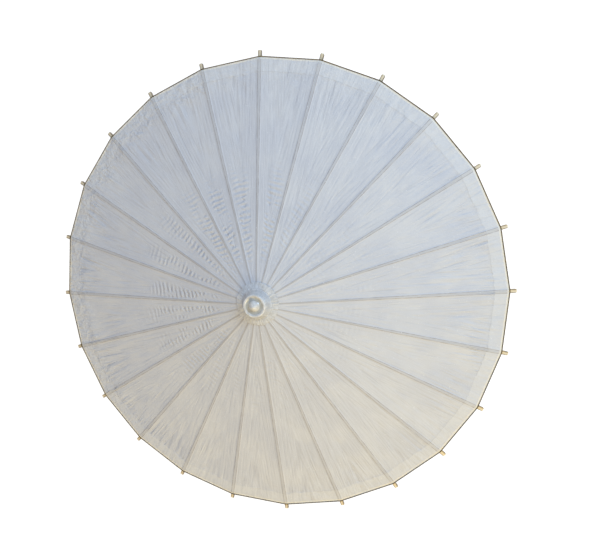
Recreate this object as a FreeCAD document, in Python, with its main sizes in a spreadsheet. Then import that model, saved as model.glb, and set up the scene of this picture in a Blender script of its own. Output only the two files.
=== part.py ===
"""Oil paper umbrella: 24 slotted bamboo ribs, 24 stretchers, shaft, notches, paper canopy and finial.

Row frame: millimetres, +Z up the shaft, origin at the centre of the handle's bottom face.
The umbrella is modelled open. Ribs lie at every 15 degrees, the first one along +X.
"""
import FreeCAD, Part
import math
import os

import Sketcher
from FreeCAD import Placement, Rotation, Vector

RIB_COUNT = 24

# Driving dimensions in millimetres and degrees. Lengths along a rib count from its notch pivot.
SIZES = {
    "rib_slope": 14.74,
    "pivot_ring": 17.0,
    "notch_height": 520.0,
    "link_length": 180.0,
    "rib_length": 407.4,
    "rib_depth": 4.0,
    "rib_width": 6.0,
    "rib_head_width": 2.0,
    "rib_head_length": 14.0,
    "rib_taper_end": 200.0,
    "rib_slot_width": 2.3,
    "rib_slot_inner": 10.0,
    "rib_slot_outer": 48.0,
    "wire_hole": 0.65,
    "thread_hole": 0.75,
    "stretcher_depth": 3.6,
    "stretcher_width": 3.0,
    "stretcher_end_width": 1.8,
    "stretcher_outer_end": 50.0,
    "stretcher_inner_end": 30.0,
    "ring_thread": 0.5,
    "notch_radius": 20.5,
    "notch_neck": 12.5,
    "slot_width": 2.4,
    "slot_root": 14.0,
    "runner_tube": 11.5,
    "runner_bore": 6.3,
    "shaft_radius": 6.0,
    "shaft_bottom": 60.2,
    "shaft_socket": 6.1,
    "handle_radius": 11.0,
    "handle_top": 104.0,
    "catch_pivot": 374.0,
    "catch_arm": 22.5,
    "catch_tail": 3.0,
    "catch_width": 2.0,
    "catch_pivot_out": 3.0,
    "catch_slot": 2.6,
    "pin_radius": 0.7,
    "rim_radius": 400.0,
    "rim_cord": 1.0,
    "paper_edge": 398.4,
    "paper_hole": 24.0,
    "paper_gap": 0.4,
    "paper_rise": 0.42,
    "collar_radius": 36.5,
    "finial_radius": 18.6,
}

doc = FreeCAD.newDocument("oil_paper_umbrella")
sheet = doc.addObject("Spreadsheet::Sheet", "Sizes")
for row, (alias, value) in enumerate(SIZES.items(), start=1):
    sheet.set(f"A{row}", alias)
    sheet.set(f"B{row}", str(value))
    sheet.setAlias(f"B{row}", alias)
doc.recompute()

PARTS = []


def size(alias):
    """A driving dimension as the sheet holds it."""
    return float(sheet.get(alias))


def part(obj, label, placement=None):
    """Names a finished sub-part, places it and puts it on the list of nodes."""
    obj.Label = label
    if placement is not None:
        obj.Placement = placement
    PARTS.append(obj)
    return obj


# ---------------------------------------------------------------- sketch helpers


def origin_plane(body, role):
    """One of a body's own origin planes, such as XZ_Plane."""
    return next(f for f in body.Origin.OriginFeatures if f.Role == role)


def sketch_on(body, name, role):
    """An empty sketch attached to one of the body's origin planes."""
    sketch = body.newObject("Sketcher::SketchObject", name)
    sketch.AttachmentSupport = [(origin_plane(body, role), "")]
    sketch.MapMode = "FlatFace"
    return sketch


def polygon_in(sketch, corners):
    """Closed outline through corners, each a pair of sheet expressions for its two coordinates."""
    first = sketch.GeometryCount
    points = [Vector(10.0 * i, (i * 7) % 5, 0) for i in range(len(corners))]
    for i, start in enumerate(points):
        sketch.addGeometry(Part.LineSegment(start, points[(i + 1) % len(points)]), False)
    for i, _ in enumerate(points):
        joined = first + (i + 1) % len(points)
        sketch.addConstraint(Sketcher.Constraint("Coincident", first + i, 2, joined, 1))
    for i, (x_size, y_size) in enumerate(corners):
        pin_point(sketch, first + i, 1, x_size, y_size)


def circle_in(sketch, x_size, y_size, radius_size):
    """Circle with its centre and radius bound to the sheet."""
    edge = sketch.addGeometry(Part.Circle(Vector(1, 1, 0), Vector(0, 0, 1), 1.0), False)
    pin_point(sketch, edge, 3, x_size, y_size)
    number = sketch.addConstraint(Sketcher.Constraint("Radius", edge, 1.0))
    sketch.setExpression(f"Constraints[{number}]", radius_size)


def pin_point(sketch, edge, end, x_size, y_size):
    """Fixes one point of an edge at two coordinates bound to the sheet."""
    for kind, expression in (("DistanceX", x_size), ("DistanceY", y_size)):
        number = sketch.addConstraint(Sketcher.Constraint(kind, -1, 1, edge, end, 0.0))
        sketch.setExpression(f"Constraints[{number}]", expression)


def pad(body, sketch, length_size):
    """Pads a sketch by a sheet length, half to each side of its plane."""
    feature = body.newObject("PartDesign::Pad", "Pad")
    feature.Profile = sketch
    feature.Midplane = True
    feature.setExpression("Length", length_size)
    return feature


def strip(body, name, length_size, depth_size, width_size):
    """Straight strip along X from the origin, with half-round ends in side view."""
    half = f"({depth_size}) / 2"
    side = sketch_on(body, name + "_side", "XZ_Plane")
    polygon_in(side, [("0", "-" + half), (length_size, "-" + half), (length_size, half), ("0", half)])
    pad(body, side, width_size)
    ends = sketch_on(body, name + "_ends", "XZ_Plane")
    circle_in(ends, "0", "0", half)
    circle_in(ends, length_size, "0", half)
    pad(body, ends, width_size)


def cut_through(body, sketch):
    """Pockets a sketch through the whole body, both ways from its plane."""
    feature = body.newObject("PartDesign::Pocket", "Cut")
    feature.Profile = sketch
    feature.Type = 1
    feature.Midplane = True
    return feature


def turned_body(name, corners):
    """A body turned about its own Z axis from an outline of (radius, height) sheet expressions."""
    body = doc.addObject("PartDesign::Body", name)
    outline = sketch_on(body, name + "_outline", "XZ_Plane")
    polygon_in(outline, corners)
    feature = body.newObject("PartDesign::Revolution", name + "_turned")
    feature.Profile = outline
    feature.ReferenceAxis = (outline, ["V_Axis"])
    feature.Angle = 360
    return body


def slots_around(body, name):
    """Cuts one radial slot for each rib into the outer part of a notch or runner."""
    slot = sketch_on(body, name + "_slot", "XY_Plane")
    outside = "Sizes.notch_radius + 1"
    half = "Sizes.slot_width / 2"
    root = "Sizes.slot_root"
    polygon_in(slot, [(root, "-" + half), (outside, "-" + half), (outside, half), (root, half)])
    pocket = cut_through(body, slot)
    pattern = body.newObject("PartDesign::PolarPattern", name + "_slots")
    pattern.Originals = [pocket]
    pattern.Axis = (origin_plane(body, "Z_Axis"), [""])
    pattern.Angle = 360
    pattern.Occurrences = RIB_COUNT
    body.Tip = pattern


# ---------------------------------------------------------------- ribs and stretchers


def azimuth(number):
    """Direction of rib or stretcher number 1 to RIB_COUNT, in degrees."""
    return 360.0 / RIB_COUNT * (number - 1)


def on_spoke(number, radius, height, tilt):
    """Placement at a radius and height on one spoke, tilted down by tilt about the spoke's tangent."""
    around = Rotation(Vector(0, 0, 1), azimuth(number))
    down = Rotation(Vector(0, 1, 0), tilt)
    start = around.multVec(Vector(radius, 0, 0)) + Vector(0, 0, height)
    return Placement(start, around.multiply(down))


def side_tapers(sketch, runs):
    """Waste on both flanks of a strip. Each run lists (distance along, half width left) corners."""
    for run in runs:
        for side in ("", "-"):
            edge = [(along, f"{side}({half})") for along, half in run]
            outer = f"{side}(Sizes.rib_width)"
            polygon_in(sketch, edge + [(run[-1][0], outer), (run[0][0], outer)])


def rib(number):
    """Bamboo rib: thin head in the notch, slot for its stretcher, rounded tip."""
    name = f"rib_{number:02d}"
    body = doc.addObject("PartDesign::Body", name)
    strip(body, name, "Sizes.rib_length - Sizes.rib_depth / 2", "Sizes.rib_depth", "Sizes.rib_width")
    flanks = sketch_on(body, name + "_flanks", "XY_Plane")
    head_half = "Sizes.rib_head_width / 2"
    taper = [
        ("-Sizes.rib_depth", head_half),
        ("Sizes.rib_head_length", head_half),
        ("Sizes.rib_taper_end", "Sizes.rib_width / 2"),
    ]
    tip = [
        ("Sizes.rib_length - 2.4", "Sizes.rib_width / 2"),
        ("Sizes.rib_length - 1.0", "Sizes.rib_width / 2 - 0.5"),
        ("Sizes.rib_length + 0.2", "Sizes.rib_width / 2 - 1.8"),
    ]
    side_tapers(flanks, [taper, tip])
    cut_through(body, flanks)
    slot = sketch_on(body, name + "_slot", "XY_Plane")
    near = "Sizes.link_length - Sizes.rib_slot_inner"
    far = "Sizes.link_length + Sizes.rib_slot_outer"
    wall = "Sizes.rib_slot_width / 2"
    polygon_in(slot, [(near, "-" + wall), (far, "-" + wall), (far, wall), (near, wall)])
    cut_through(body, slot)
    holes = sketch_on(body, name + "_holes", "XZ_Plane")
    circle_in(holes, "0", "0", "Sizes.wire_hole")
    circle_in(holes, "Sizes.link_length", "0", "Sizes.thread_hole")
    cut_through(body, holes)
    return part(body, name, on_spoke(number, size("pivot_ring"), size("notch_height"), size("rib_slope")))


def stretcher(number):
    """Stretcher: thinned where it enters its rib and the runner, a pivot hole at each end."""
    name = f"stretcher_{number:02d}"
    body = doc.addObject("PartDesign::Body", name)
    strip(body, name, "Sizes.link_length", "Sizes.stretcher_depth", "Sizes.stretcher_width")
    flanks = sketch_on(body, name + "_flanks", "XY_Plane")
    half = "Sizes.stretcher_end_width / 2"
    past = "Sizes.stretcher_depth"
    outer = [("-" + past, half), ("Sizes.stretcher_outer_end", half)]
    inner = [
        ("Sizes.link_length - Sizes.stretcher_inner_end", half),
        ("Sizes.link_length + " + past, half),
    ]
    side_tapers(flanks, [outer, inner])
    cut_through(body, flanks)
    holes = sketch_on(body, name + "_holes", "XZ_Plane")
    circle_in(holes, "0", "0", "Sizes.thread_hole")
    circle_in(holes, "Sizes.link_length", "0", "Sizes.thread_hole")
    cut_through(body, holes)
    slope = math.radians(size("rib_slope"))
    radius = size("pivot_ring") + size("link_length") * math.cos(slope)
    height = size("notch_height") - size("link_length") * math.sin(slope)
    return part(body, name, on_spoke(number, radius, height, 180.0 - size("rib_slope")))


# ---------------------------------------------------------------- notches, shaft and handle


def top_notch():
    """Slotted crown on the shaft: rib heads sit in its slots, the wire in its groove."""
    body = turned_body("top_notch", [
        ("Sizes.shaft_socket", "-6"),
        ("Sizes.notch_radius - 1", "-6"),
        ("Sizes.notch_radius", "-5"),
        ("Sizes.notch_radius", "3"),
        ("Sizes.notch_radius - 1", "4"),
        ("Sizes.notch_neck", "4"),
        ("Sizes.notch_neck", "13"),
        ("Sizes.shaft_socket", "13"),
    ])
    groove = sketch_on(body, "wire_groove", "XZ_Plane")
    root = "Sizes.pivot_ring - 0.6"
    outside = "Sizes.notch_radius + 0.5"
    polygon_in(groove, [(root, "-0.6"), (outside, "-0.6"), (outside, "0.6"), (root, "0.6")])
    cut = body.newObject("PartDesign::Groove", "wire_groove_cut")
    cut.Profile = groove
    cut.ReferenceAxis = (groove, ["V_Axis"])
    cut.Angle = 360
    slots_around(body, "notch")
    return part(body, "top_notch", Placement(Vector(0, 0, size("notch_height")), Rotation()))


def notch_wire():
    """Wire ring through all rib heads."""
    ring = doc.addObject("Part::Torus", "notch_wire")
    ring.setExpression("Radius1", "Sizes.pivot_ring")
    ring.setExpression("Radius2", "Sizes.ring_thread")
    return part(ring, "notch_wire", Placement(Vector(0, 0, size("notch_height")), Rotation()))


def runner_height():
    """Height of the stretchers' inner pivots above the handle's bottom with the umbrella open."""
    slope = math.radians(size("rib_slope"))
    return size("notch_height") - 2 * size("link_length") * math.sin(slope)


def runner():
    """Sliding lower notch: slotted flange for the stretchers above a plain grip tube."""
    body = turned_body("runner", [
        ("Sizes.runner_bore", "-31"),
        ("Sizes.runner_tube - 1", "-31"),
        ("Sizes.runner_tube", "-30"),
        ("Sizes.runner_tube", "-6"),
        ("Sizes.notch_radius - 1", "-6"),
        ("Sizes.notch_radius", "-5"),
        ("Sizes.notch_radius", "5"),
        ("Sizes.notch_radius - 1", "6"),
        ("Sizes.runner_bore", "6"),
    ])
    slots_around(body, "runner")
    return part(body, "runner", Placement(Vector(0, 0, runner_height()), Rotation()))


def handle():
    """Turned wooden grip with a ring groove, a tapered shoulder and a blind socket for the shaft."""
    body = turned_body("handle", [
        ("0", "0"),
        ("Sizes.handle_radius - 1", "0"),
        ("Sizes.handle_radius", "1"),
        ("Sizes.handle_radius", "82"),
        ("Sizes.handle_radius - 0.9", "83"),
        ("Sizes.handle_radius - 0.9", "84.5"),
        ("Sizes.handle_radius", "85.5"),
        ("Sizes.handle_radius", "92"),
        ("Sizes.handle_radius - 3", "Sizes.handle_top"),
        ("Sizes.shaft_socket", "Sizes.handle_top"),
        ("Sizes.shaft_socket", "Sizes.shaft_bottom - 0.2"),
        ("0", "Sizes.shaft_bottom - 0.2"),
    ])
    return part(body, "handle")


def box(name, x_size, y_size, z_size, corner):
    """Box with sheet-bound sides and its low corner at three sheet expressions."""
    block = doc.addObject("Part::Box", name)
    for side, expression in zip(("Length", "Width", "Height"), (x_size, y_size, z_size)):
        block.setExpression(side, expression)
    for axis, expression in zip("xyz", corner):
        block.setExpression(f"Placement.Base.{axis}", expression)
    return block


def cross_cylinder(name, radius_size, length_size):
    """Cylinder along Y through the catch's pivot, centred on the shaft's mid plane."""
    rod = doc.addObject("Part::Cylinder", name)
    rod.setExpression("Radius", radius_size)
    rod.setExpression("Height", length_size)
    doc.recompute()
    half = 0.5 * rod.Height.Value
    pivot = Vector(size("catch_pivot_out"), half, size("catch_pivot"))
    rod.Placement = Placement(pivot, Rotation(Vector(1, 0, 0), 90))
    return rod


def cut(name, base, tool):
    """Part boolean: base minus tool."""
    result = doc.addObject("Part::Cut", name)
    result.Base = base
    result.Tool = tool
    return result


def shaft():
    """Straight shaft with a slot for the catch and a cross hole for its pin."""
    rod = doc.addObject("Part::Cylinder", "shaft_rod")
    rod.setExpression("Radius", "Sizes.shaft_radius")
    rod.setExpression("Height", "Sizes.notch_height + 8 - Sizes.shaft_bottom")
    rod.setExpression("Placement.Base.z", "Sizes.shaft_bottom")
    slot = box(
        "catch_slot", "Sizes.shaft_radius + 1", "Sizes.catch_slot", "Sizes.catch_arm + Sizes.catch_tail + 5",
        ("0", "-Sizes.catch_slot / 2", "Sizes.catch_pivot - Sizes.catch_tail - 2"),
    )
    hole = cross_cylinder("pin_hole", "Sizes.pin_radius + 0.05", "2 * Sizes.shaft_radius + 2")
    return part(cut("shaft", cut("shaft_slotted", rod, slot), hole), "shaft")


def catch_spring():
    """Springy catch in the shaft's slot, pressed flush with the shaft."""
    blade = box(
        "catch_blade", "Sizes.shaft_radius - 1.2", "Sizes.catch_width", "Sizes.catch_arm + Sizes.catch_tail",
        ("1", "-Sizes.catch_width / 2", "Sizes.catch_pivot - Sizes.catch_tail"),
    )
    hole = cross_cylinder("catch_hole", "Sizes.pin_radius + 0.1", "Sizes.catch_width + 2")
    return part(cut("catch_spring", blade, hole), "catch_spring")


def catch_pin():
    """Pin that the catch turns on."""
    return part(cross_cylinder("catch_pin", "Sizes.pin_radius", "2 * Sizes.shaft_radius - 2.2"), "catch_pin")


def finial():
    """Turned finial: rimmed flange, shallow dish, low cone with a rounded tip, spigot in the notch."""
    body = turned_body("finial", [
        ("0", "8.5"),
        ("Sizes.shaft_radius", "8.5"),
        ("Sizes.shaft_radius", "14.2"),
        ("Sizes.finial_radius - 1", "14.2"),
        ("Sizes.finial_radius", "15.2"),
        ("Sizes.finial_radius", "17"),
        ("Sizes.finial_radius - 0.8", "18"),
        ("Sizes.finial_radius - 2.4", "18"),
        ("Sizes.finial_radius - 3.8", "16.8"),
        ("Sizes.finial_radius - 5.6", "16"),
        ("9.6", "15.9"),
        ("8", "17.3"),
        ("5.6", "20.6"),
        ("2.9", "25.2"),
        ("1.6", "27.2"),
        ("0", "28"),
    ])
    return part(body, "finial", Placement(Vector(0, 0, size("notch_height")), Rotation()))


# ---------------------------------------------------------------- paper and threads


def paper_collar():
    """Paper cap clamped under the finial, over the notch's shoulder and out onto the canopy."""
    body = turned_body("paper_collar", [
        ("Sizes.shaft_radius + 1", "13.3"),
        ("18.2", "13.3"),
        ("23.4", "4.8"),
        ("26", "1.15"),
        ("Sizes.collar_radius", "-1.75"),
        ("Sizes.collar_radius", "-1.25"),
        ("26.2", "1.7"),
        ("23.8", "5.15"),
        ("18.5", "13.8"),
        ("Sizes.shaft_radius + 1", "13.8"),
    ])
    return part(body, "paper_collar", Placement(Vector(0, 0, size("notch_height")), Rotation()))


def rib_top(radius):
    """Height of a rib's upper face at a radius, with the umbrella open."""
    slope = math.radians(size("rib_slope"))
    drop = (radius - size("pivot_ring")) * math.tan(slope)
    return size("notch_height") - drop + 0.5 * size("rib_depth") / math.cos(slope)


def gore_polygon(name, radius_size, height):
    """Regular polygon with a corner over each rib."""
    outline = doc.addObject("Part::RegularPolygon", name)
    outline.Polygon = RIB_COUNT
    outline.setExpression("Circumradius", radius_size)
    outline.Placement = Placement(Vector(0, 0, height), Rotation())
    return outline


def gore_cone(name, drop):
    """Solid 24-sided frustum under the paper's surface, lowered by drop."""
    lift = size("paper_gap") - drop
    wide = gore_polygon(name + "_rim", "Sizes.paper_edge", rib_top(size("paper_edge")) + lift)
    narrow = gore_polygon(name + "_top", "Sizes.paper_hole", rib_top(size("paper_hole")) + lift)
    loft = doc.addObject("Part::Loft", name)
    loft.Sections = [wide, narrow]
    loft.Solid = True
    loft.Ruled = True
    return loft


def canopy_paper():
    """Paper canopy: 24 flat gores in one closed skin, open in the middle and underneath."""
    outside = gore_cone("canopy_outside", -size("paper_rise"))
    skin = cut("canopy_skin", outside, gore_cone("canopy_inside", 0.0))
    hole = doc.addObject("Part::Prism", "canopy_hole")
    hole.Polygon = RIB_COUNT
    hole.setExpression("Circumradius", "Sizes.paper_hole + 0.01")
    hole.Height = 20
    hole.Placement = Placement(Vector(0, 0, size("notch_height") - 10), Rotation())
    return part(cut("canopy_paper", skin, hole), "canopy_paper")


def thread_ring(name, ring_radius, height, bend_radius, thread_radius):
    """Thread held by every rib: straight between ribs, a short bend at each one."""
    half_turn = math.radians(180.0 / RIB_COUNT)
    corner_radius = ring_radius + bend_radius * (1 / math.cos(half_turn) - 1)
    setback = bend_radius * math.tan(half_turn)
    edges = []
    for number in range(1, RIB_COUNT + 1):
        turn = math.radians(azimuth(number))
        outward = Vector(math.cos(turn), math.sin(turn), 0)
        middle = outward * ring_radius + Vector(0, 0, height)
        points = []
        for side in (-1, 1):
            leg = turn + side * half_turn
            along = Vector(-math.sin(leg), math.cos(leg), 0)
            points.append(outward * corner_radius + Vector(0, 0, height) + along * (side * setback))
        if edges:
            edges.append(Part.LineSegment(edges[-1].EndPoint, points[0]))
        edges.append(Part.Arc(points[0], middle, points[1]))
    edges.append(Part.LineSegment(edges[-1].EndPoint, edges[0].StartPoint))
    start = edges[0].EndPoint
    section = Part.Wire([Part.Circle(start, edges[1].EndPoint - start, thread_radius).toShape()])
    path = Part.Wire([edge.toShape() for edge in edges[1:] + edges[:1]])
    ring = doc.addObject("Part::Feature", name)
    ring.Shape = path.makePipeShell([section], True, True)
    return part(ring, name)


def rim_cord():
    """Cord around the paper's hem, lying on the ribs just inside their tips."""
    height = rib_top(size("rim_radius")) + 0.3 + size("rim_cord")
    return thread_ring("rim_cord", size("rim_radius"), height, 18.0, size("rim_cord"))


def pivot_thread():
    """Thread that ties every stretcher into its rib."""
    slope = math.radians(size("rib_slope"))
    radius = size("pivot_ring") + size("link_length") * math.cos(slope)
    height = size("notch_height") - size("link_length") * math.sin(slope)
    return thread_ring("pivot_thread", radius + 0.08, height, 18.0, size("ring_thread"))


# ---------------------------------------------------------------- assembly


def check_document():
    """Stops on any failed object and on any sub-part that isn't a valid solid."""
    for obj in doc.Objects:
        if "Invalid" in obj.State or "Error" in obj.State:
            raise RuntimeError(f"{obj.Name} failed: {obj.State}")
    for obj in PARTS:
        shape = obj.Shape
        if shape.isNull() or not shape.isValid() or len(shape.Solids) != 1:
            raise RuntimeError(f"{obj.Label} isn't one valid solid")


def build():
    """Builds every sub-part and writes one STEP file for each."""
    for number in range(1, RIB_COUNT + 1):
        rib(number)
        stretcher(number)
    for make in (
        top_notch, notch_wire, runner, handle, shaft, catch_spring, catch_pin, finial,
        paper_collar, canopy_paper, rim_cord, pivot_thread,
    ):
        make()
    doc.recompute()
    check_document()
    os.makedirs("parts", exist_ok=True)
    for obj in PARTS:
        obj.Shape.exportStep(f"parts/{obj.Label}.step")
        print(f"{obj.Label}: {obj.Shape.Volume:.1f} mm3")


build()
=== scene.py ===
"""Oil paper umbrella: paper canopy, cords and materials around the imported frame.

Metres, in the row frame: origin at the centre of the handle's bottom face, +Z up the shaft.
The canopy is made of 24 leaves, each centred on its rib and meeting its neighbours in mid-gore,
so that the paper follows the ribs when the umbrella folds.
"""
import math

import bpy
import numpy as np
from mathutils import Matrix, Vector


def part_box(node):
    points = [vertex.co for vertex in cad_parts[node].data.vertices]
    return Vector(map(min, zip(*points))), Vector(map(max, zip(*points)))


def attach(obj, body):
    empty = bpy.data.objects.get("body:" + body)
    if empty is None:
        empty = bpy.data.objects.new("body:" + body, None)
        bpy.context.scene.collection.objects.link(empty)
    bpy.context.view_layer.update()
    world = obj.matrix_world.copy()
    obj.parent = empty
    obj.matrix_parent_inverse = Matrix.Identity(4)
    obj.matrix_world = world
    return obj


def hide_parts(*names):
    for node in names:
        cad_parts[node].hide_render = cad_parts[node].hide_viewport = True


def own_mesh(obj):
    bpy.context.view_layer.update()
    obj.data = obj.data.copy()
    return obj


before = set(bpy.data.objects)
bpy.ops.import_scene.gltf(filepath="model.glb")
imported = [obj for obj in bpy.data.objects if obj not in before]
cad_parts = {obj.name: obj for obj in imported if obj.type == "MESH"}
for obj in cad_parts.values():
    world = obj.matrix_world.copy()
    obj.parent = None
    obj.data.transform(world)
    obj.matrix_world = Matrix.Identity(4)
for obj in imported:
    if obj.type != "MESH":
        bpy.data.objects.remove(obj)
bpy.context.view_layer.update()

RIB_COUNT = 24
HALF_GORE = math.pi / RIB_COUNT

# ---------------------------------------------------------------- places taken from the frame

paper_low, paper_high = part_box("canopy_paper")
cord_low, cord_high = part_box("rim_cord")
thread_low, thread_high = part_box("pivot_thread")
rib_low, rib_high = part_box("rib_01")
_, collar_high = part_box("paper_collar")
wire_low, wire_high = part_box("notch_wire")
_, runner_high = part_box("runner")

# The paper shown is thinner than its solid, which is PAPER_RISE thick measured upright.
PAPER_THICKNESS = 0.0003
PAPER_RISE = 0.00042
PAPER_EDGE = paper_high[0]
PAPER_HOLE = 0.024
RIB_HEAD_RADIUS = 0.002
WIRE_RADIUS = 0.0005
PIVOT_RING = 0.5 * (wire_high[0] + rib_low[0] + RIB_HEAD_RADIUS - WIRE_RADIUS)
NOTCH_HEIGHT = 0.5 * (wire_low[2] + wire_high[2])
RUNNER_PIVOT_DROP = 0.006
RUNNER_HEIGHT = runner_high[2] - RUNNER_PIVOT_DROP
CORD_RADIUS = 0.5 * (cord_high[2] - cord_low[2])
CORD_HEIGHT = 0.5 * (cord_high[2] + cord_low[2])
RIM_RADIUS = cord_high[0] - CORD_RADIUS
THREAD_RADIUS = 0.5 * (thread_high[2] - thread_low[2])
THREAD_HEIGHT = 0.5 * (thread_high[2] + thread_low[2])
THREAD_RING = thread_high[0] - THREAD_RADIUS
PAPER_SLOPE = (paper_high[2] - paper_low[2] - PAPER_RISE) / (PAPER_EDGE - PAPER_HOLE)
RIB_WIDTH = rib_high[1] - rib_low[1]

# The rib's crown widens over CROWN_RUN from the first to the second half width.
CROWN_RUN = (0.031, 0.390)
CROWN_HALF = (0.0008, 0.5 * RIB_WIDTH - 0.0003)
HEM_WIDTH = 0.0225
HEM_LINE = PAPER_EDGE - HEM_WIDTH
LEAF_EDGE = PAPER_EDGE + 0.0010
# Width of the painted highlight along the paper's edge.
EDGE_HIGHLIGHT = 0.0032


def azimuth(rib):
    """Direction of rib 0 to RIB_COUNT - 1."""
    return 2 * math.pi * rib / RIB_COUNT


def rib_name(rib):
    """Body and node name of a rib."""
    return f"rib_{rib + 1:02d}"


# ---------------------------------------------------------------- the paper's surface


def smooth_step(low, high, x):
    """0 below low, 1 above high, smooth between."""
    t = np.clip((x - low) / (high - low), 0.0, 1.0)
    return t * t * (3 - 2 * t)


def wave_noise(along, across, seed):
    """Soft noise from about -1 to 1, made of slanted waves; both places are in wavelengths."""
    rng = np.random.default_rng(seed)
    total = np.zeros_like(along)
    for octave in range(4):
        turn = rng.uniform(0, 2 * math.pi, 2)
        rate = rng.uniform(0.7, 1.5, 2) * (1 + 0.6 * octave)
        lean = rng.uniform(-0.6, 0.6)
        total += np.sin(2 * math.pi * (rate[0] * along + lean * across) + turn[0]) * np.cos(
            2 * math.pi * rate[1] * (across - lean * along) + turn[1]
        ) / (1 + 0.5 * octave)
    return total / 2.4


def gore_pleats(gore):
    """Pleats that run inwards from the hem of one gore: place, width, height, length and lean."""
    rng = np.random.default_rng(700 + gore)
    pleats = []
    for _ in range(rng.integers(7, 11)):
        pleats.append(
            dict(
                place=rng.uniform(-0.86, 0.86),
                width=rng.uniform(0.0012, 0.0034),
                height=rng.choice([-1, 1]) * rng.uniform(0.10, 0.42) * 1e-3,
                length=rng.uniform(0.030, 0.125),
                lean=rng.uniform(-0.30, 0.30),
            )
        )
    return pleats


PLEATS = [gore_pleats(gore) for gore in range(RIB_COUNT)]

GORE_SAG = 0.0016
WAVE_HEIGHT = 0.00042
RIPPLE_HEIGHT = 0.00020
HEM_STEP = 0.00022
HEM_WANDER = 0.0016
RIB_RISE = 0.00045
RIB_BLEND = (-0.0002, 0.0022)
EDGE_TUCK = 0.00040
TUCK_RUN = (-0.0016, 0.0004)


def gore_relief(gore, radius, place):
    """Height of one gore's paper over its flat plane, with place from -1 to 1 between its ribs."""
    half_width = radius * math.sin(HALF_GORE)
    held = 1 - place**2
    stiff_hem = 1 - 0.45 * smooth_step(HEM_LINE - 0.02, PAPER_EDGE, radius)
    relief = -GORE_SAG * held * (radius / PAPER_EDGE) ** 1.5 * stiff_hem
    relief += WAVE_HEIGHT * held * wave_noise(radius / 0.085, place / 1.4, 100 + gore)
    ripples = wave_noise(radius / 0.16, place * half_width / 0.010, 200 + gore)
    relief += RIPPLE_HEIGHT * held * smooth_step(0.06, 0.2, radius) * ripples
    inner = np.clip(HEM_LINE - radius, 0, None)
    at_hem = 1 - 0.8 * smooth_step(HEM_LINE - 0.002, HEM_LINE + 0.005, radius)
    for pleat in PLEATS[gore]:
        centre = pleat["place"] + pleat["lean"] * inner / pleat["length"] * 0.25
        away = np.abs((place - centre) * half_width) / pleat["width"]
        fade = np.exp(-((inner / pleat["length"]) ** 2))
        relief += pleat["height"] * np.exp(-(away**1.5)) * fade * at_hem * held**0.5
    hem_line = HEM_LINE + HEM_WANDER * wave_noise(place * 1.6, place * 0.7, 300 + gore)
    relief += HEM_STEP * smooth_step(hem_line - 0.0015, hem_line + 0.0004, radius)
    return relief


def rib_half_width(radius):
    """Half the width of the rib's crown, which the paper is glued to, at a radius."""
    return np.interp(radius, CROWN_RUN, CROWN_HALF)


def canopy_point(rib, radius, share):
    """Points of the paper's upper face, with share from -1 to 1 between the two mid-gores."""
    side = np.where(share >= 0, 1.0, -1.0)
    turn = azimuth(rib)
    out_x, out_y = math.cos(turn), math.sin(turn)
    mid_x = np.cos(turn + side * HALF_GORE) * math.cos(HALF_GORE)
    mid_y = np.sin(turn + side * HALF_GORE) * math.cos(HALF_GORE)
    reach = np.abs(share)
    x = radius * (out_x + reach * (mid_x - out_x))
    y = radius * (out_y + reach * (mid_y - out_y))
    z = paper_high[2] - (radius - PAPER_HOLE) * PAPER_SLOPE
    place = reach - 1
    ahead = gore_relief(rib, radius, place)
    behind = gore_relief((rib - 1) % RIB_COUNT, radius, -place)
    across = reach * radius * math.sin(HALF_GORE)
    half = rib_half_width(radius)
    over_rib = 1 - smooth_step(half + RIB_BLEND[0], half + RIB_BLEND[1], across)
    relief = np.where(side > 0, ahead, behind) * (1 - over_rib)
    relief = relief + RIB_RISE * over_rib * smooth_step(0.03, 0.08, radius)
    tucked = smooth_step(PAPER_EDGE + TUCK_RUN[0], PAPER_EDGE + TUCK_RUN[1], radius)
    relief = relief * (1 - tucked) - EDGE_TUCK * tucked
    return np.stack([x, y, z + relief], axis=-1)


LEAF_ROWS = np.concatenate(
    [
        np.linspace(PAPER_HOLE, HEM_LINE - 0.004, 92),
        np.linspace(HEM_LINE - 0.0025, PAPER_EDGE - 0.0016, 13),
        np.linspace(PAPER_EDGE - 0.0009, LEAF_EDGE, 4),
    ]
)
LEAF_COLUMNS = 41
LEAF_CROWDING = 1.6
LEAF_STEPS = np.linspace(-1, 1, LEAF_COLUMNS)
LEAF_SHARES = np.sign(LEAF_STEPS) * np.abs(LEAF_STEPS) ** LEAF_CROWDING


def grid_faces(rows, columns, offset, flip):
    """Quads of a grid of points, row by row."""
    faces = []
    for row in range(rows - 1):
        for column in range(columns - 1):
            a = offset + row * columns + column
            quad = (a, a + columns, a + columns + 1, a + 1)
            faces.append(quad[::-1] if flip else quad)
    return faces


def rim_faces(rows, columns, count):
    """Quads that close a two-faced grid all round; count is the number of points in one face."""
    near = [(0, c) for c in range(columns)]
    right = [(r, columns - 1) for r in range(rows)]
    far = [(rows - 1, c) for c in reversed(range(columns))]
    left = [(r, 0) for r in reversed(range(rows))]
    loop = near[:-1] + right[:-1] + far[:-1] + left
    indices = [r * columns + c for r, c in loop]
    return [(b, a, a + count, b + count)[::-1] for a, b in zip(indices, indices[1:])]


def surface_normals(rib, radius, share):
    """Unit normals of the paper's upper face, from its slopes either way."""
    step_r, step_s = 2e-4, 2e-3
    along = canopy_point(rib, radius + step_r, share) - canopy_point(rib, radius - step_r, share)
    low = canopy_point(rib, radius, np.clip(share - step_s, -1, 1))
    high = canopy_point(rib, radius, np.clip(share + step_s, -1, 1))
    normal = np.cross(along, high - low)
    return normal / np.linalg.norm(normal, axis=-1, keepdims=True)


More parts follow.
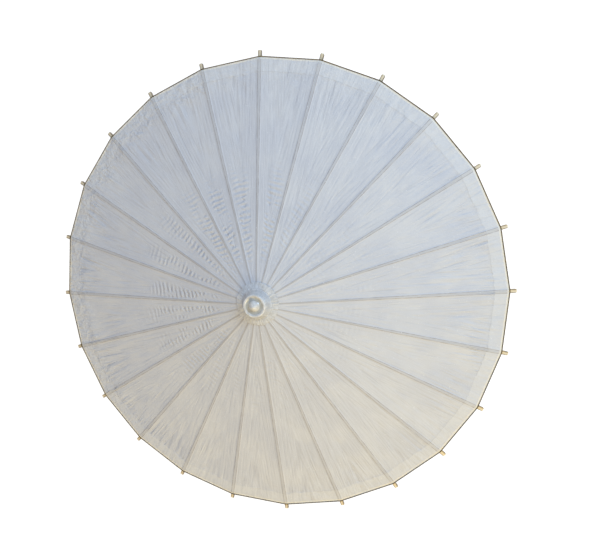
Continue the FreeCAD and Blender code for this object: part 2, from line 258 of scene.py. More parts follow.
def new_mesh(name, points, faces, material):
    """A smooth mesh object linked to the scene."""
    mesh = bpy.data.meshes.new(name)
    mesh.from_pydata([tuple(p) for p in points], [], faces)
    mesh.materials.append(material)
    mesh.shade_smooth()
    obj = bpy.data.objects.new(name, mesh)
    bpy.context.scene.collection.objects.link(obj)
    return obj


def set_point_values(obj, name, values):
    """Stores one number for each point of a mesh, for its material to read."""
    attribute = obj.data.attributes.new(name, "FLOAT", "POINT")
    attribute.data.foreach_set("value", np.asarray(values, np.float32).ravel())


def fold_with_rib(obj, rib):
    """Rides on a rib, with its own copy of its mesh."""
    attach(obj, rib_name(rib))
    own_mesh(obj)


def canopy_leaf(rib, material):
    """One rib's share of the canopy paper, half a gore to each side, as a thin two-faced sheet."""
    radius, share = np.meshgrid(LEAF_ROWS, LEAF_SHARES, indexing="ij")
    top = canopy_point(rib, radius, share)
    normals = surface_normals(rib, radius, share)
    under = top - normals * PAPER_THICKNESS
    rows, columns = radius.shape
    count = rows * columns
    points = np.concatenate([top.reshape(-1, 3), under.reshape(-1, 3)])
    faces = grid_faces(rows, columns, 0, False) + grid_faces(rows, columns, count, True)
    faces += rim_faces(rows, columns, count)
    leaf = new_mesh(f"paper_leaf_{rib + 1:02d}", points, faces, material)
    across = share * radius * math.sin(HALF_GORE)
    reach = np.abs(share)
    lane = np.where(share >= 0, reach - 1, 1 - reach)
    for name, values in (("across", across), ("along", radius), ("lane", lane)):
        set_point_values(leaf, name, np.concatenate([values.ravel(), values.ravel()]))
    gore = np.where(share >= 0, rib, (rib - 1) % RIB_COUNT)
    set_point_values(leaf, "gore", np.tile(gore.ravel(), 2))
    leaf.data.normals_split_custom_set_from_vertices(
        np.concatenate([normals.reshape(-1, 3), -normals.reshape(-1, 3)]).tolist()
    )
    if rib == 0:
        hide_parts("canopy_paper")
    fold_with_rib(leaf, rib)
    return leaf


# ---------------------------------------------------------------- cords and threads


CORD_BEND = 0.018
CORD_PITCH = 0.0042
THREAD_BEND = 0.110
THREAD_PITCH = 0.0030


def span_points(rib, ring_radius, height, bend):
    """A thread's route over one rib: straight from mid-span, one short bend, straight again."""
    turn = azimuth(rib)
    outward = np.array([math.cos(turn), math.sin(turn), 0.0])
    tangent = np.array([-math.sin(turn), math.cos(turn), 0.0])
    corner = ring_radius + bend * (1 / math.cos(HALF_GORE) - 1)
    arc_end = bend * math.tan(HALF_GORE)
    half_span = corner * math.sin(HALF_GORE)
    points = []
    leg = tangent * math.cos(HALF_GORE) - outward * math.sin(HALF_GORE)
    for distance in (half_span, 0.5 * (half_span + arc_end), arc_end):
        points.append(outward * corner + leg * distance)
    in_bend = ring_radius + 0.25 * (points[-1] @ outward - ring_radius)
    points.append(outward * in_bend + tangent * 0.5 * arc_end)
    points.append(outward * ring_radius)
    mirrored = [p - 2 * tangent * (p @ tangent) for p in points[-2::-1]]
    return [p + np.array([0, 0, height]) for p in points + mirrored]


def twisted_thread(name, route, radius, strands, pitch, material):
    """Thread made of strands wound round the route, as one mesh."""
    route = np.array(route)
    lengths = np.concatenate([[0], np.cumsum(np.linalg.norm(np.diff(route, axis=0), axis=1))])
    stations = np.linspace(0, lengths[-1], max(24, int(lengths[-1] / (pitch / 9)) + 1))
    line = np.stack([np.interp(stations, lengths, route[:, k]) for k in range(3)], axis=-1)
    tangent = np.gradient(line, axis=0)
    tangent /= np.linalg.norm(tangent, axis=1, keepdims=True)
    up = np.array([0.0, 0.0, 1.0])
    side = np.cross(tangent, up)
    strand_radius = radius * 0.54
    ring = np.linspace(0, 2 * math.pi, 7)[:-1]
    points, faces = [], []
    for strand in range(strands):
        angle = 2 * math.pi * (stations / pitch + strand / strands)
        way = side * np.cos(angle)[:, None] + up * np.sin(angle)[:, None]
        centre = line + way * (radius - strand_radius)
        base = len(points)
        for i, middle in enumerate(centre):
            for a in ring:
                points.append(middle + (side[i] * math.cos(a) + up * math.sin(a)) * strand_radius)
        sides = len(ring)
        for i in range(len(centre) - 1):
            for k in range(sides):
                a = base + i * sides + k
                b = base + i * sides + (k + 1) % sides
                faces.append((a, a + sides, b + sides, b))
        last = base + (len(centre) - 1) * sides
        faces.append(tuple(range(base, base + sides)))
        faces.append(tuple(range(last + sides - 1, last - 1, -1)))
    return new_mesh(name, points, faces, material)


def rim_cord_piece(rib, material):
    """One rib's share of the rim cord."""
    route = span_points(rib, RIM_RADIUS, CORD_HEIGHT, CORD_BEND)
    cord = twisted_thread(f"rim_cord_{rib + 1:02d}", route, CORD_RADIUS, 2, CORD_PITCH, material)
    if rib == 0:
        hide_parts("rim_cord")
    fold_with_rib(cord, rib)
    return cord


def pivot_thread_piece(rib, material):
    """One rib's share of the thread through the rib and stretcher pivots."""
    route = span_points(rib, THREAD_RING, THREAD_HEIGHT, THREAD_BEND)
    name = f"pivot_thread_{rib + 1:02d}"
    thread = twisted_thread(name, route, THREAD_RADIUS, 3, THREAD_PITCH, material)
    if rib == 0:
        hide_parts("pivot_thread")
    fold_with_rib(thread, rib)
    return thread


# ---------------------------------------------------------------- collar


COLLAR_EDGE = collar_high[0]
COLLAR_SKIRT = 0.0258
COLLAR_THICKNESS = 0.0005
COLLAR_CAP = (
    (0.0070, 0.0138), (0.0182, 0.0138), (0.0192, 0.0130), (0.0207, 0.0106), (0.0222, 0.0080),
    (0.0233, 0.0060), (0.0243, 0.0042), (0.0251, 0.0029), (COLLAR_SKIRT, 0.0022),
)


def collar_pleat(turn, radius):
    """Height of the gathered pleats round the collar."""
    grow = smooth_step(0.018, 0.025, radius)
    over_ribs = np.abs(np.cos(0.5 * RIB_COUNT * turn)) ** 6
    folds = np.sin(37 * turn + 1.7 * np.sin(5 * turn)) ** 5
    folds = folds + 0.5 * np.sin(61 * turn + 2.3 * np.sin(3 * turn)) ** 3
    return grow * (0.00022 * over_ribs + 0.00016 * folds)


def collar_height(radius):
    """Height of the collar's upper face above the notch pivots, pleats left out."""
    cap = np.array(COLLAR_CAP)
    skirt_end = paper_high[2] - NOTCH_HEIGHT - (COLLAR_EDGE - PAPER_HOLE) * PAPER_SLOPE + 0.0011
    radii = np.append(cap[:, 0], COLLAR_EDGE)
    heights = np.append(cap[:, 1], skirt_end)
    return np.interp(radius, radii, heights)


def collar_patch(name, radii, turns, material, closed):
    """Part of the collar as a thin sheet with an upper and a lower face."""
    radius, turn = np.meshgrid(radii, turns, indexing="ij")
    ragged = 0.0004 * np.sin(9 * turn + 1.0) + 0.0002 * np.sin(23 * turn)
    edge_share = smooth_step(0.030, COLLAR_EDGE, radius)
    reach = radius + (ragged - 0.0006) * edge_share
    z = NOTCH_HEIGHT + collar_height(radius) + collar_pleat(turn, radius)
    top = np.stack([reach * np.cos(turn), reach * np.sin(turn), z], axis=-1)
    under = top - np.array([0, 0, COLLAR_THICKNESS])
    rows, columns = radius.shape
    count = rows * columns
    faces = grid_faces(rows, columns, 0, False) + grid_faces(rows, columns, count, True)
    if closed:
        for row in range(rows - 1):
            a = row * columns + columns - 1
            b = row * columns
            faces.append((a, a + columns, b + columns, b))
            faces.append((b + count, b + columns + count, a + columns + count, a + count))
        for row, flip in ((0, True), (rows - 1, False)):
            for column in range(columns):
                a = row * columns + column
                b = row * columns + (column + 1) % columns
                quad = (a, a + count, b + count, b)
                faces.append(quad[::-1] if flip else quad)
    else:
        faces += rim_faces(rows, columns, count)
    points = np.concatenate([top.reshape(-1, 3), under.reshape(-1, 3)])
    return new_mesh(name, points, faces, material)


def collar_cap(material):
    """Middle of the collar, which stays on the notch, out to where the petals of its skirt begin.
    """
    radii = np.linspace(COLLAR_CAP[0][0], COLLAR_SKIRT, 22)
    turns = np.linspace(0, 2 * math.pi, 361)[:-1]
    cap = collar_patch("collar_cap", radii, turns, material, True)
    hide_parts("paper_collar")
    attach(cap, "frame")
    return cap


def collar_petal(rib, material):
    """One rib's share of the collar's skirt, which lies on the canopy."""
    radii = np.linspace(COLLAR_SKIRT, COLLAR_EDGE, 14)
    turns = azimuth(rib) + np.linspace(-HALF_GORE, HALF_GORE, 19)
    petal = collar_patch(f"collar_petal_{rib + 1:02d}", radii, turns, material, False)
    fold_with_rib(petal, rib)
    return petal


# ---------------------------------------------------------------- materials


class Nodes:
    """Short ways to build one material's node tree."""

    def __init__(self, name):
        self.material = bpy.data.materials.new(name)
        self.material.use_nodes = True
        self.tree = self.material.node_tree
        self.shader = self.tree.nodes["Principled BSDF"]
        self.output = self.tree.nodes["Material Output"]

    def add(self, kind, **settings):
        node = self.tree.nodes.new(kind)
        for key, value in settings.items():
            setattr(node, key, value)
        return node

    def feed(self, socket, value):
        if isinstance(value, bpy.types.NodeSocket):
            self.tree.links.new(value, socket)
        else:
            socket.default_value = value

    def math(self, operation, a, b=0.0):
        node = self.add("ShaderNodeMath", operation=operation)
        for socket, value in zip(node.inputs, (a, b)):
            self.feed(socket, value)
        return node.outputs[0]

    def times(self, a, b):
        return self.math("MULTIPLY", a, b)

    def plus(self, a, b):
        return self.math("ADD", a, b)

    def minus(self, a, b):
        return self.math("SUBTRACT", a, b)

    def size_of(self, a):
        return self.math("ABSOLUTE", a)

    def value(self, name):
        return self.add("ShaderNodeAttribute", attribute_name=name).outputs["Fac"]

    def place(self):
        return self.add("ShaderNodeTexCoord").outputs["Object"]

    def vector(self, x, y, z):
        node = self.add("ShaderNodeCombineXYZ")
        for socket, value in zip(node.inputs, (x, y, z)):
            self.feed(socket, value)
        return node.outputs[0]

    def stretch(self, vector, scale):
        node = self.add("ShaderNodeVectorMath", operation="MULTIPLY")
        self.feed(node.inputs[0], vector)
        node.inputs[1].default_value = scale
        return node.outputs[0]

    def noise(self, vector, scale, detail=3.0, roughness=0.55, distortion=0.0):
        node = self.add("ShaderNodeTexNoise")
        self.feed(node.inputs["Vector"], vector)
        node.inputs["Scale"].default_value = scale
        node.inputs["Detail"].default_value = detail
        node.inputs["Roughness"].default_value = roughness
        node.inputs["Distortion"].default_value = distortion
        return node.outputs["Fac"]

    def map_range(self, interpolation, *numbers):
        node = self.add("ShaderNodeMapRange", interpolation_type=interpolation)
        for socket, number in zip(node.inputs, numbers):
            self.feed(socket, number)
        return node.outputs[0]

    def ramp(self, value, low, high, out_low=0.0, out_high=1.0):
        return self.map_range("SMOOTHSTEP", value, low, high, out_low, out_high)

    def line(self, value, low, high, out_low, out_high):
        return self.map_range("LINEAR", value, low, high, out_low, out_high)

    def window(self, value, low, full, still_full, high):
        """0 up to low, 1 from full to still_full, 0 from high."""
        return self.times(self.ramp(value, low, full), self.ramp(value, still_full, high, 1.0, 0.0))

    def length(self, vector):
        node = self.add("ShaderNodeVectorMath", operation="LENGTH")
        self.feed(node.inputs[0], vector)
        return node.outputs["Value"]

    def mix(self, share, a, b):
        node = self.add("ShaderNodeMix", data_type="RGBA")
        for socket, value in ((node.inputs[0], share), (node.inputs[6], a), (node.inputs[7], b)):
            self.feed(socket, value)
        return node.outputs[2]

    def bump(self, height, strength, distance, normal=None):
        node = self.add("ShaderNodeBump")
        node.inputs["Strength"].default_value = strength
        node.inputs["Distance"].default_value = distance
        self.feed(node.inputs["Height"], height)
        if normal is not None:
            self.feed(node.inputs["Normal"], normal)
        return node.outputs["Normal"]

    def surface(self, base, normal, roughness):
        self.feed(self.shader.inputs["Base Color"], base)
        self.feed(self.shader.inputs["Normal"], normal)
        self.feed(self.shader.inputs["Roughness"], roughness)


def colour(red, green, blue):
    """An sRGB colour from 0 to 255 as linear RGBA."""

    def linear(c):
        share = c / 255
        return share / 12.92 if c <= 10 else ((share + 0.055) / 1.055) ** 2.4

    return (linear(red), linear(green), linear(blue), 1.0)


PAPER_GLOW = 0.15


def translucent_paper(nodes, base, normal, share=PAPER_GLOW):
    """Lets some of the light from the paper's other side through."""
    through = nodes.add("ShaderNodeBsdfTranslucent")
    nodes.feed(through.inputs["Color"], base)
    nodes.feed(through.inputs["Normal"], normal)
    mixed = nodes.add("ShaderNodeMixShader")
    mixed.inputs[0].default_value = share
    nodes.tree.links.new(nodes.shader.outputs[0], mixed.inputs[1])
    nodes.tree.links.new(through.outputs[0], mixed.inputs[2])
    nodes.tree.links.new(mixed.outputs[0], nodes.output.inputs["Surface"])


def rib_shadow(nodes, away, along, gore):
    """How much painted shadow a rib puts on the paper: its tan-tinted body and the painted shade
    lines along its two edges.
    """
    half = nodes.line(along, *CROWN_RUN, *CROWN_HALF)
    broken = nodes.noise(nodes.vector(nodes.times(along, 60.0), gore, 0.0), 1.0, 3.0, 0.6)
    body = nodes.ramp(nodes.minus(away, half), -0.0004, 0.0004, 1.0, 0.0)
    gap = nodes.size_of(nodes.minus(away, half))
    edge = nodes.ramp(gap, 0.0001, 0.0007, 1.0, 0.0)
    edge = nodes.times(edge, nodes.ramp(broken, 0.35, 0.65, 0.35, 1.0))
    return body, edge


RIPPLE_LENGTH = 0.0084


def cross_ripples(nodes, along, lane, gore):
    """Short slanted ripples across the inner part of most gores."""
    own = nodes.noise(nodes.vector(nodes.times(gore, 7.31), 0.0, 0.0), 1.0, 1.0)
    slant = nodes.ramp(own, 0.35, 0.65, -0.006, 0.006)
    drift_lines = nodes.vector(nodes.times(along, 40.0), nodes.times(lane, 1.2), gore)
    drift = nodes.noise(drift_lines, 1.0, 2.0)
    shifted = nodes.plus(along, nodes.times(lane, slant))
    turns = nodes.times(shifted, 2 * math.pi / RIPPLE_LENGTH)
    wave = nodes.math("SINE", nodes.plus(turns, nodes.times(drift, 7.0)))
    centre = nodes.ramp(own, 0.40, 0.60, -0.28, 0.28)
    off_centre = nodes.size_of(nodes.minus(lane, centre))
    patch_lines = nodes.vector(nodes.times(along, 30.0), gore, nodes.times(lane, 1.5))
    patch = nodes.noise(patch_lines, 1.0, 2.0)
    zone = nodes.ramp(off_centre, 0.28, 0.70, 1.0, 0.0)
    zone = nodes.times(zone, nodes.ramp(along, 0.055, 0.10))
    zone = nodes.times(zone, nodes.ramp(along, 0.16, 0.25, 1.0, 0.0))
    zone = nodes.times(zone, nodes.ramp(patch, 0.40, 0.58))
    rippled = nodes.window(gore, 3.0, 6.0, 12.0, 16.0)
    zone = nodes.times(zone, nodes.line(rippled, 0.0, 1.0, 0.15, 1.0))
    return nodes.times(wave, zone)


def canopy_paper_material():
    """White oiled paper: fibres, pleats with painted shade in their dips, cross ripples, painted
    rib shadows, painted crease shade, a painted highlight along the edge and a doubled hem.
    """
    nodes = Nodes("canopy_paper")
    place = nodes.place()
    across = nodes.value("across")
    along = nodes.value("along")
    lane = nodes.value("lane")
    gore = nodes.value("gore")

    fibre = nodes.noise(place, 900.0, 4.0, 0.65)
    cloud = nodes.noise(place, 16.0, 3.0, 0.5)
    crumple = nodes.noise(place, 70.0, 4.0, 0.6)
    fine_lines = nodes.vector(nodes.times(along, 12.0), nodes.times(across, 280.0), gore)
    streak = nodes.noise(fine_lines, 1.0, 3.0, 0.6)
    pleat_lines = nodes.vector(nodes.times(along, 9.0), nodes.times(across, 95.0), gore)
    pleat = nodes.noise(pleat_lines, 1.0, 3.0, 0.55, 0.6)
    rib_body_shadow, rib_edge_shade = rib_shadow(nodes, nodes.size_of(across), along, gore)

    ragged = nodes.plus(along, nodes.times(nodes.minus(crumple, 0.5), 0.008))
    hem = nodes.ramp(ragged, HEM_LINE, HEM_LINE + 0.0012)
    # Painted shade along the crease at the hem's inner edge.
    hem_gap = nodes.size_of(nodes.minus(ragged, HEM_LINE + 0.0005))
    hem_crease_shade = nodes.ramp(hem_gap, 0.0001, 0.0011, 1.0, 0.0)
    hem_crease_shade = nodes.times(hem_crease_shade, nodes.ramp(cloud, 0.40, 0.60))
    crumpled = nodes.line(nodes.window(gore, 5.5, 7.5, 12.0, 15.0), 0.0, 1.0, 0.25, 1.0)
    at_hem = nodes.times(nodes.ramp(along, HEM_LINE - 0.035, HEM_LINE), crumpled)
    # Painted shade along thin creases near the crumpled hem.
    crease_gap = nodes.size_of(nodes.minus(crumple, 0.5))
    crease_shade = nodes.times(nodes.ramp(crease_gap, 0.002, 0.012, 1.0, 0.0), at_hem)
    crease_shade = nodes.times(crease_shade, nodes.ramp(cloud, 0.48, 0.60))
    # Painted highlight along the paper's very edge.
    edge_highlight = nodes.ramp(along, LEAF_EDGE - EDGE_HIGHLIGHT, LEAF_EDGE - EDGE_HIGHLIGHT + 0.0003)
    speck = nodes.ramp(nodes.noise(place, 420.0, 1.0), 0.725, 0.755)
    near_hem = nodes.ramp(along, HEM_LINE - 0.13, HEM_LINE - 0.01)
    near_hem = nodes.times(near_hem, nodes.minus(1.0, hem))
    uneven = nodes.ramp(nodes.noise(place, 14.0, 1.0), 0.38, 0.62, 0.25, 1.0)
    near_hem = nodes.times(near_hem, uneven)
    pleated = nodes.plus(nodes.window(gore, 8.0, 10.0, 15.0, 17.0), nodes.ramp(gore, 21.0, 22.0))
    pleated = nodes.plus(pleated, nodes.ramp(gore, 0.5, 2.0, 1.0, 0.0))
    near_hem = nodes.times(near_hem, nodes.line(pleated, 0.0, 1.0, 0.50, 1.0))
    # Painted shade in the dips of the pleats near the hem.
    pleat_shade = nodes.times(nodes.ramp(pleat, 0.34, 0.46, 1.0, 0.0), near_hem)
    pleat_height = nodes.times(nodes.minus(pleat, 0.5), near_hem)

    white = nodes.mix(nodes.ramp(cloud, 0.35, 0.68), colour(226, 227, 228), colour(233, 233, 231))
    white = nodes.mix(nodes.ramp(fibre, 0.42, 0.70, 0.0, 0.30), white, colour(244, 244, 242))
    # Painted shade in the grooves of the fine streaks.
    white = nodes.mix(nodes.ramp(streak, 0.30, 0.46, 0.30, 0.0), white, colour(194, 197, 202))
    # Grey-blue painted shade in the pleat dips.
    white = nodes.mix(nodes.times(pleat_shade, 0.16), white, colour(186, 191, 200))
    white = nodes.mix(nodes.times(hem, 0.42), white, colour(242, 242, 238))
    # Painted crease shade.
    white = nodes.mix(nodes.times(crease_shade, 0.32), white, colour(158, 160, 168))
    # Painted shade in the hem crease.
    white = nodes.mix(nodes.times(hem_crease_shade, 0.18), white, colour(186, 182, 172))
    # Painted shadow of the rib under the paper, tinted tan, then painted shade lines along its
    # edges.
    rib_shadow_share = nodes.times(rib_body_shadow, nodes.ramp(along, 0.06, 0.26, 0.36, 0.16))
    white = nodes.mix(rib_shadow_share, white, colour(190, 180, 160))
    edge_share = nodes.times(rib_edge_shade, nodes.ramp(along, 0.05, 0.22, 0.34, 0.60))
    white = nodes.mix(edge_share, white, colour(132, 108, 84))
    white = nodes.mix(nodes.times(speck, 0.8), white, colour(252, 252, 250))
    # Near-white painted highlight at the edge.
    white = nodes.mix(edge_highlight, white, colour(255, 251, 238))
    nodes.feed(nodes.shader.inputs["Base Color"], white)

    hem_crumple = nodes.times(nodes.math("POWER", crumple, 2.0), at_hem)
    normal = nodes.bump(cross_ripples(nodes, along, lane, gore), 0.65, 0.0013)
    normal = nodes.bump(pleat_height, 0.75, 0.0070, normal)
    normal = nodes.bump(streak, 0.55, 0.0018, normal)
    normal = nodes.bump(hem_crumple, 0.65, 0.0090, normal)
    normal = nodes.bump(fibre, 0.30, 0.00040, normal)
    nodes.feed(nodes.shader.inputs["Normal"], normal)
    nodes.feed(nodes.shader.inputs["Roughness"], nodes.ramp(fibre, 0.3, 0.7, 0.50, 0.68))
    nodes.shader.inputs["Specular IOR Level"].default_value = 0.35
    translucent_paper(nodes, white, normal)
    return nodes.material


def collar_paper_material():
    """Thicker gathered paper of the collar, with painted shade in its gathers and darker painted
    shade on the steep tier under the finial.
    """
    nodes = Nodes("collar_paper")
    place = nodes.place()
    axes = nodes.add("ShaderNodeSeparateXYZ")
    nodes.feed(axes.inputs[0], place)
    turn = nodes.math("ARCTAN2", axes.outputs[1], axes.outputs[0])
    off_axis = nodes.length(nodes.stretch(place, (1.0, 1.0, 0.0)))
    fibre = nodes.noise(place, 1100.0, 4.0, 0.6)
    crease = nodes.noise(place, 160.0, 3.0, 0.6)
    gather_lines = nodes.vector(nodes.times(turn, 13.0), nodes.times(off_axis, 45.0), 0.0)
    gather = nodes.noise(gather_lines, 1.0, 3.0, 0.6)
    # Painted shade on the steep tier under the finial.
    tier = nodes.window(off_axis, 0.0184, 0.0196, 0.0240, 0.0254)
    white = nodes.mix(nodes.ramp(crease, 0.35, 0.65), colour(222, 221, 216), colour(240, 240, 236))
    # Painted shade in the low lines of the gathers.
    white = nodes.mix(nodes.ramp(gather, 0.34, 0.46, 0.35, 0.0), white, colour(178, 176, 170))
    white = nodes.mix(nodes.times(tier, 0.32), white, colour(160, 162, 164))
    normal = nodes.bump(gather, 0.55, 0.0016)
    normal = nodes.bump(crease, 0.30, 0.0008, normal)
    normal = nodes.bump(fibre, 0.25, 0.0003, normal)
    nodes.surface(white, normal, nodes.ramp(crease, 0.3, 0.7, 0.45, 0.65))
    translucent_paper(nodes, white, normal)
    return nodes.material


BAMBOO_JOINT_GAP = 0.142
BAMBOO_JOINT_START = 0.037


def bamboo_material(name, turn, light, dark):
    """Split bamboo with its fibres along the direction turn, or upright when turn is None."""
    nodes = Nodes(name)
    place = nodes.place()
    if turn is None:
        grain_space = nodes.stretch(place, (420.0, 420.0, 9.0))
        length = nodes.add("ShaderNodeSeparateXYZ")
        nodes.feed(length.inputs[0], place)
        along = length.outputs[2]
        flank_shade = None
    else:
        rotate = nodes.add("ShaderNodeVectorRotate", rotation_type="Z_AXIS")
        nodes.feed(rotate.inputs["Vector"], place)
        rotate.inputs["Angle"].default_value = -turn
        grain_space = nodes.stretch(rotate.outputs[0], (9.0, 520.0, 260.0))
        length = nodes.add("ShaderNodeSeparateXYZ")
        nodes.feed(length.inputs[0], rotate.outputs[0])
        along = length.outputs[0]
        off_axis = nodes.size_of(length.outputs[1])
        # Painted shade along both edges of the rib's top face, standing in for its shaded sides.
        flank_shade = nodes.ramp(off_axis, 0.5 * RIB_WIDTH - 0.0011, 0.5 * RIB_WIDTH - 0.0005)
    grain = nodes.noise(grain_space, 1.0, 4.0, 0.62)
    cloud = nodes.noise(place, 28.0, 2.0)
    base = nodes.mix(nodes.ramp(grain, 0.34, 0.66), dark, light)
    base = nodes.mix(nodes.ramp(cloud, 0.45, 0.7, 0.0, 0.30), base, dark)
    joint_turns = nodes.math("DIVIDE", nodes.plus(along, BAMBOO_JOINT_START), BAMBOO_JOINT_GAP)
    joint_wave = nodes.math("FRACT", joint_turns)
    joint_gap = nodes.size_of(nodes.minus(joint_wave, 0.5))
    joint = nodes.ramp(joint_gap, 0.004, 0.016, 1.0, 0.0)
    base = nodes.mix(nodes.times(joint, 0.55), base, colour(120, 88, 52))
    # Dark brown painted shade along the rib's edges.
    if flank_shade is not None:
        base = nodes.mix(nodes.times(flank_shade, 0.80), base, colour(84, 66, 42))
    normal = nodes.bump(grain, 0.35, 0.0004)
    normal = nodes.bump(joint, 0.6, 0.0008, normal)
    nodes.surface(base, normal, nodes.ramp(grain, 0.3, 0.7, 0.34, 0.56))
    return nodes.material


def turned_wood_material(name, light, dark, roughness):
    """Turned wood with growth rings stretched up its axis."""
    nodes = Nodes(name)
    place = nodes.place()
    space = nodes.stretch(place, (140.0, 140.0, 14.0))
    rings = nodes.noise(space, 1.0, 5.0, 0.6, 1.4)
    pores = nodes.noise(nodes.stretch(place, (1500.0, 1500.0, 90.0)), 1.0, 2.0)
    base = nodes.mix(nodes.ramp(rings, 0.32, 0.68), dark, light)
    base = nodes.mix(nodes.ramp(pores, 0.58, 0.72, 0.0, 0.45), base, dark)
    roughness = nodes.ramp(pores, 0.4, 0.7, roughness, roughness + 0.15)
    nodes.surface(base, nodes.bump(rings, 0.25, 0.0004), roughness)
    nodes.shader.inputs["Coat Weight"].default_value = 0.35
    nodes.shader.inputs["Coat Roughness"].default_value = 0.18
    return nodes.material


def finial_material():
    """Pale lacquered finial, a little worn, with painted shade in the hollow between its rim and
    its cone.
    """
    nodes = Nodes("finial_lacquer")
    place = nodes.place()
    cloud = nodes.noise(place, 120.0, 4.0, 0.6)
    scratch = nodes.noise(nodes.stretch(place, (900.0, 900.0, 300.0)), 1.0, 3.0)
    base = nodes.mix(nodes.ramp(cloud, 0.35, 0.65), colour(216, 212, 200), colour(240, 239, 233))
    off_axis = nodes.length(nodes.stretch(place, (1.0, 1.0, 0.0)))
    # Painted shade in the hollow between the rim and the cone.
    dish_shade = nodes.window(off_axis, 0.0078, 0.0098, 0.0132, 0.0152)
    base = nodes.mix(nodes.times(dish_shade, 0.55), base, colour(150, 154, 144))
    roughness = nodes.ramp(scratch, 0.35, 0.65, 0.20, 0.34)
    nodes.surface(base, nodes.bump(cloud, 0.15, 0.0006), roughness)
    nodes.shader.inputs["Coat Weight"].default_value = 0.6
    nodes.shader.inputs["Coat Roughness"].default_value = 0.12
    return nodes.material


def thread_material(name, light, dark):
    """Twisted thread with lighter and darker fibres."""
    nodes = Nodes(name)
    place = nodes.place()
    fibre = nodes.noise(place, 2600.0, 3.0, 0.6)
    cloud = nodes.noise(place, 90.0, 2.0)
    base = nodes.mix(nodes.ramp(fibre, 0.35, 0.65), dark, light)
    base = nodes.mix(nodes.ramp(cloud, 0.5, 0.75, 0.0, 0.5), base, dark)
    nodes.surface(base, nodes.bump(fibre, 0.5, 0.0002), nodes.ramp(fibre, 0.3, 0.7, 0.70, 0.92))
    return nodes.material


def rim_cord_material():
    """Rim cord stained olive brown, with lighter worn fibres here and there."""
    nodes = Nodes("rim_cord")
    place = nodes.place()
    fibre = nodes.noise(place, 2200.0, 3.0, 0.6)
    cloud = nodes.noise(place, 60.0, 2.0)
    brown = nodes.mix(nodes.ramp(cloud, 0.35, 0.65), colour(78, 64, 34), colour(112, 94, 54))
    worn = nodes.mix(nodes.ramp(fibre, 0.45, 0.75, 0.0, 0.45), brown, colour(160, 142, 96))
    nodes.surface(worn, nodes.bump(fibre, 0.5, 0.0002), nodes.ramp(fibre, 0.3, 0.7, 0.60, 0.85))
    return nodes.material


def wire_material():
    """Drawn steel wire, slightly tarnished."""
    nodes = Nodes("steel_wire")
    place = nodes.place()
    spots = nodes.noise(place, 700.0, 4.0, 0.6)
    base = nodes.mix(nodes.ramp(spots, 0.45, 0.7), colour(188, 188, 186), colour(128, 118, 104))
    nodes.feed(nodes.shader.inputs["Base Color"], base)
    nodes.shader.inputs["Metallic"].default_value = 1.0
    nodes.feed(nodes.shader.inputs["Normal"], nodes.bump(spots, 0.2, 0.0002))
    nodes.feed(nodes.shader.inputs["Roughness"], nodes.ramp(spots, 0.35, 0.7, 0.25, 0.55))
    return nodes.material


FLOOR_TONE = (0.30, 0.30, 0.30, 1.0)
FLOOR_GLOW = 0.90


def floor_material():
    """Pale floor, white mostly by its own glow, so that little light bounces up from it."""
    nodes = Nodes("pale_floor")
    nodes.shader.inputs["Base Color"].default_value = FLOOR_TONE
    nodes.shader.inputs["Roughness"].default_value = 0.9
    nodes.shader.inputs["Emission Color"].default_value = (1.0, 1.0, 1.0, 1.0)
    nodes.shader.inputs["Emission Strength"].default_value = FLOOR_GLOW
    return nodes.material


def paint(node, material):
    """Gives a CAD node its own procedural material."""
    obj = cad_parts[node]
    for slot in obj.material_slots:
        slot.link = "OBJECT"
        slot.material = material


# ---------------------------------------------------------------- the pieces


def ring_mesh(name, ring_radius, thread_radius, height, material):
    """A closed wire ring about the shaft."""
    around, section = 144, 10
    points, faces = [], []
    for i in range(around):
        turn = 2 * math.pi * i / around
        for k in range(section):
            a = 2 * math.pi * k / section
            radius = ring_radius + thread_radius * math.cos(a)
            z = height + thread_radius * math.sin(a)
            points.append((radius * math.cos(turn), radius * math.sin(turn), z))
    for i in range(around):
        for k in range(section):
            a = i * section + k
            b = i * section + (k + 1) % section
            c = ((i + 1) % around) * section + k
            d = ((i + 1) % around) * section + (k + 1) % section
            faces.append((a, c, d, b))
    return new_mesh(name, points, faces, material)


def build_object():
    """Soft pieces and materials."""
    canopy = canopy_paper_material()
    collar = collar_paper_material()
    cord = rim_cord_material()
    thread = thread_material("pivot_thread", colour(236, 230, 212), colour(186, 172, 144))
    wire = wire_material()
    split = colour(246, 233, 200), colour(216, 193, 150)
    culm = colour(206, 178, 124), colour(164, 128, 78)
    dark_wood = colour(150, 98, 58), colour(92, 54, 30)
    light_wood = colour(222, 200, 160), colour(188, 160, 116)
    for rib in range(RIB_COUNT):
        canopy_leaf(rib, canopy)
        rim_cord_piece(rib, cord)
        pivot_thread_piece(rib, thread)
        collar_petal(rib, collar)
        rib_bamboo = bamboo_material(f"bamboo_{rib + 1:02d}", azimuth(rib), *split)
        paint(rib_name(rib), rib_bamboo)
        paint(f"stretcher_{rib + 1:02d}", rib_bamboo)
    collar_cap(collar)
    runner_wire = ring_mesh("runner_wire", PIVOT_RING, THREAD_RADIUS, RUNNER_HEIGHT, wire)
    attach(runner_wire, "runner")
    paint("shaft", bamboo_material("bamboo_shaft", None, *culm))
    paint("handle", turned_wood_material("handle_wood", *dark_wood, 0.30))
    pale_wood = turned_wood_material("notch_wood", *light_wood, 0.45)
    for node in ("top_notch", "runner"):
        paint(node, pale_wood)
    paint("finial", finial_material())
    for node in ("notch_wire", "catch_spring", "catch_pin"):
        paint(node, wire)


# ---------------------------------------------------------------- stage, light and camera


FLOOR_REACH = 30.0
FLOOR_GAP = 0.0005

KEY_RISE = math.radians(35.0)
KEY_DISTANCE = 3.0
KEY_SIZE = 1.0

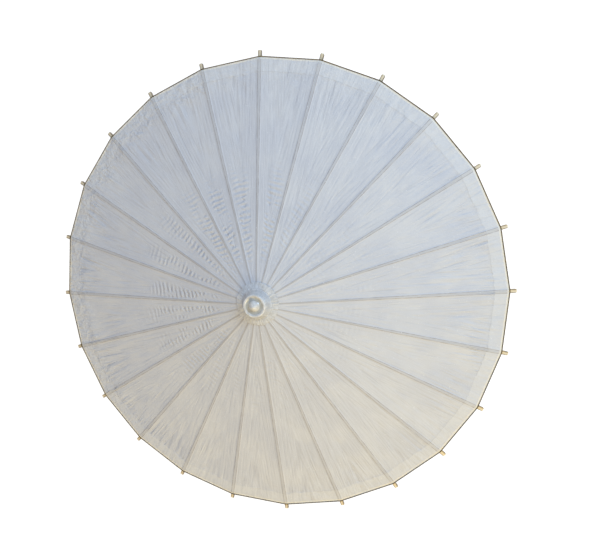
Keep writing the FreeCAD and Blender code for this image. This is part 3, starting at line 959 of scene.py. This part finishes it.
# Name, direction in degrees, power and tint of each key light.
KEY_LIGHTS = (
    ("cool_key", 38.0, 45.0, (0.46, 0.69, 1.0)),
    ("warm_key", -65.0, 41.0, (1.0, 0.73, 0.19)),
)
WORLD_TINT = (0.86, 0.88, 1.0, 1.0)
WORLD_STRENGTH = 0.47

# The camera's place and aim from the rim's centre, in rim radii.
CAMERA_PLACE = Vector((0.923, 0.6354, 3.106))
CAMERA_AIM = Vector((0.1237, 0.0663, 0.0))
CAMERA_ROLL = math.radians(3.03)
CAMERA_SENSOR = 36.0
CAMERA_LENS = 45.11


def floor():
    """Large pale floor under the handle."""
    far = FLOOR_REACH
    points = [(-far, -far, 0), (far, -far, 0), (far, far, 0), (-far, far, 0)]
    obj = new_mesh("floor", points, [(0, 1, 2, 3)], floor_material())
    obj.location.z = -FLOOR_GAP


def area_light(name, place, target, size, power, tint):
    """Square soft light aimed at a point."""
    lamp = bpy.data.lights.new(name, "AREA")
    lamp.shape = "SQUARE"
    lamp.size = size
    lamp.energy = power
    lamp.color = tint
    obj = bpy.data.objects.new(name, lamp)
    obj.location = place
    obj.rotation_euler = (Vector(target) - Vector(place)).to_track_quat("-Z", "Y").to_euler()
    bpy.context.scene.collection.objects.link(obj)


def key_light(name, turn, power, tint):
    """Soft light in the direction turn, in degrees, at the keys' height."""
    centre = Vector((0.0, 0.0, CORD_HEIGHT))
    aside, up = math.radians(turn), KEY_RISE
    way = Vector((math.cos(aside) * math.cos(up), math.sin(aside) * math.cos(up), math.sin(up)))
    area_light(name, centre + KEY_DISTANCE * way, centre, KEY_SIZE, power, tint)


def lights():
    """Cool key light from the far right, a warm one from the near right and a pale world."""
    for key in KEY_LIGHTS:
        key_light(*key)
    world = bpy.data.worlds.new("studio")
    world.use_nodes = True
    background = world.node_tree.nodes["Background"]
    background.inputs["Color"].default_value = WORLD_TINT
    background.inputs["Strength"].default_value = WORLD_STRENGTH
    bpy.context.scene.world = world
    bpy.context.scene.view_settings.view_transform = "Standard"


def camera():
    """Camera above the canopy, leaning from the finial's axis; image-up is close to +Y."""
    rim_centre = Vector((0.0, 0.0, CORD_HEIGHT))
    place = rim_centre + CAMERA_PLACE * RIM_RADIUS
    aim = rim_centre + CAMERA_AIM * RIM_RADIUS
    back = (place - aim).normalized()
    level_up = (Vector((0, 1, 0)) - back * back.y).normalized()
    level_right = level_up.cross(back)
    up = level_up * math.cos(CAMERA_ROLL) + level_right * math.sin(CAMERA_ROLL)
    right = up.cross(back)
    lens = bpy.data.cameras.new("camera")
    lens.sensor_fit = "HORIZONTAL"
    lens.sensor_width = CAMERA_SENSOR
    lens.lens = CAMERA_LENS
    lens.clip_start = 0.01
    obj = bpy.data.objects.new("camera", lens)
    obj.matrix_world = Matrix.Translation(place) @ Matrix((right, up, back)).transposed().to_4x4()
    bpy.context.scene.collection.objects.link(obj)
    bpy.context.scene.camera = obj


build_object()
floor()
lights()
camera()
